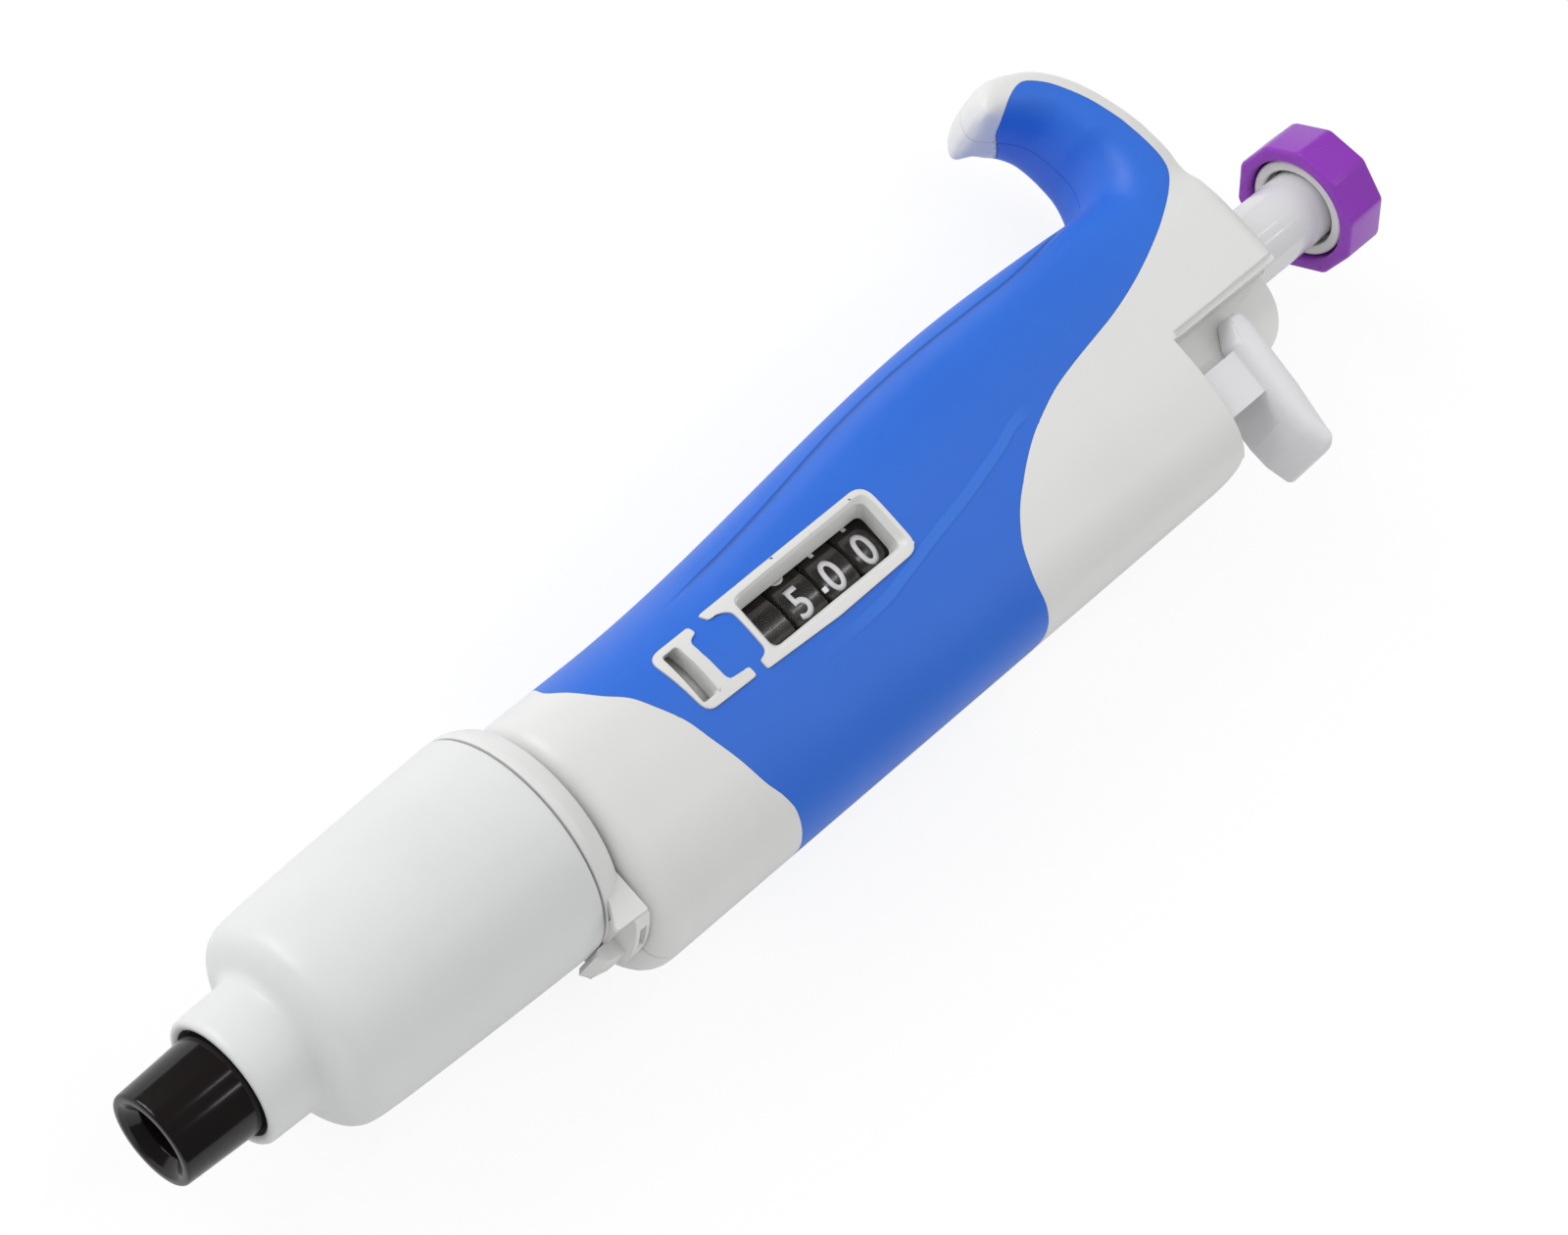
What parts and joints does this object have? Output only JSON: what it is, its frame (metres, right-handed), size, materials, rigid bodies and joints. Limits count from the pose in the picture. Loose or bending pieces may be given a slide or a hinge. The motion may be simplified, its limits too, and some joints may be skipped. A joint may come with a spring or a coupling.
{
  "type": "adjustable micropipette",
  "caption": "Handheld adjustable-volume micropipette with tip cone, ejector sleeve, shaped handle, finger hook, volume counter, ejector lever and push button.",
  "frame": {"origin": "bottom centre of the bounding box, with the pipette lying on its back", "axes": "+X along the piston axis from the tip cone to the push button, +Y towards the finger hook, +Z out of the display"},
  "size_m": [0.2312, 0.0724, 0.0343],
  "materials": {
    "white_plastic": "fine moulded, satin",
    "blue_rubber": "soft-touch moulded, satin",
    "clear_plastic": "clear, polished",
    "natural_plastic": "natural moulded",
    "black_plastic": "polished, black",
    "purple_plastic": "moulded, purple",
    "lever_plastic": "fine moulded, light grey",
    "seal_rubber": "moulded, black",
    "steel": "stainless, fine turned",
    "brass": "turned"
  },
  "bodies": {
    "handle": {"handle_front_shell": "white_plastic", "handle_back_shell": "white_plastic", "grip_front": "blue_rubber", "grip_back": "blue_rubber", "display_bezel": "white_plastic", "display_window": "clear_plastic", "dial_bezel": "white_plastic", "calibration_dial": "white_plastic", "core_tube": "natural_plastic", "core_cap": "natural_plastic", "piston_cylinder": "natural_plastic", "union_nut": "natural_plastic", "tip_cone": "black_plastic", "cone_filter": "natural_plastic", "counter_frame": "natural_plastic", "pinion_axle": "steel", "blank_wheel": "black_plastic", "case_screw_lower": "steel", "case_screw_middle": "steel", "case_screw_upper": "steel"},
    "stop_stage": {"first_stop_plate": "steel", "blowout_spring": "steel"},
    "plunger": {"piston_rod": "steel", "piston_head": "natural_plastic", "piston_seal": "seal_rubber", "primary_spring": "steel", "travel_nut": "brass"},
    "knob": {"push_button": "purple_plastic", "button_insert": "white_plastic", "button_cap": "white_plastic", "plunger_stem": "white_plastic", "volume_spindle": "steel"},
    "hundredths": {"hundredths_wheel": "black_plastic", "counter_drive_sleeve": "natural_plastic"},
    "tenths": {"tenths_wheel": "black_plastic"},
    "ones": {"ones_wheel": "black_plastic"},
    "tenths_transfer": {"tenths_pinion": "natural_plastic"},
    "ones_transfer": {"ones_pinion": "natural_plastic"},
    "ejector": {"ejector_lever": "lever_plastic", "ejector_rod": "steel", "ejector_ring": "white_plastic", "ejector_sleeve": "white_plastic", "ejector_spring": "steel"}
  },
  "joints": [
    {"name": "blowout", "type": "slide", "parent": "handle", "child": "stop_stage", "axis": [-1, 0, 0], "range_m": [0, 0.0022], "stiffness_N_per_m": 1500, "springref_m": -0.001, "deforming": ["blowout_spring"]},
    {"name": "plunger_press", "type": "slide", "parent": "stop_stage", "child": "plunger", "axis": [-1, 0, 0], "range_m": [0, 0.014], "stiffness_N_per_m": 150, "springref_m": -0.01, "deforming": ["primary_spring"]},
    {"name": "knob_turn", "type": "hinge", "parent": "plunger", "child": "knob", "pos_m": [0, -0.006, 0.0173], "axis": [1, 0, 0], "range_deg": [-3240, 0]},
    {"name": "hundredths_turn", "type": "hinge", "parent": "handle", "child": "hundredths", "pos_m": [0, -0.006, 0.0173], "axis": [1, 0, 0], "range_deg": [-3240, 0]},
    {"name": "tenths_turn", "type": "hinge", "parent": "handle", "child": "tenths", "pos_m": [0, -0.006, 0.0173], "axis": [1, 0, 0], "range_deg": [-1620, 0]},
    {"name": "ones_turn", "type": "hinge", "parent": "handle", "child": "ones", "pos_m": [0, -0.006, 0.0173], "axis": [1, 0, 0], "range_deg": [-162, 0]},
    {"name": "tenths_transfer_turn", "type": "hinge", "parent": "handle", "child": "tenths_transfer", "pos_m": [0, -0.0185, 0.0173], "axis": [1, 0, 0], "range_deg": [0, 4050]},
    {"name": "ones_transfer_turn", "type": "hinge", "parent": "handle", "child": "ones_transfer", "pos_m": [0, -0.0185, 0.0173], "axis": [1, 0, 0], "range_deg": [0, 405]},
    {"name": "ejector_press", "type": "slide", "parent": "handle", "child": "ejector", "axis": [-1, 0, 0], "range_m": [0, 0.006], "stiffness_N_per_m": 400, "springref_m": -0.004, "deforming": ["ejector_spring"]}
  ],
  "couplings": [
    {"joint": "hundredths_turn", "follows": "knob_turn", "ratio": 1},
    {"joint": "tenths_turn", "follows": "knob_turn", "ratio": 0.5},
    {"joint": "ones_turn", "follows": "knob_turn", "ratio": 0.05},
    {"joint": "tenths_transfer_turn", "follows": "knob_turn", "ratio": -1.25},
    {"joint": "ones_transfer_turn", "follows": "knob_turn", "ratio": -0.125}
  ]
}
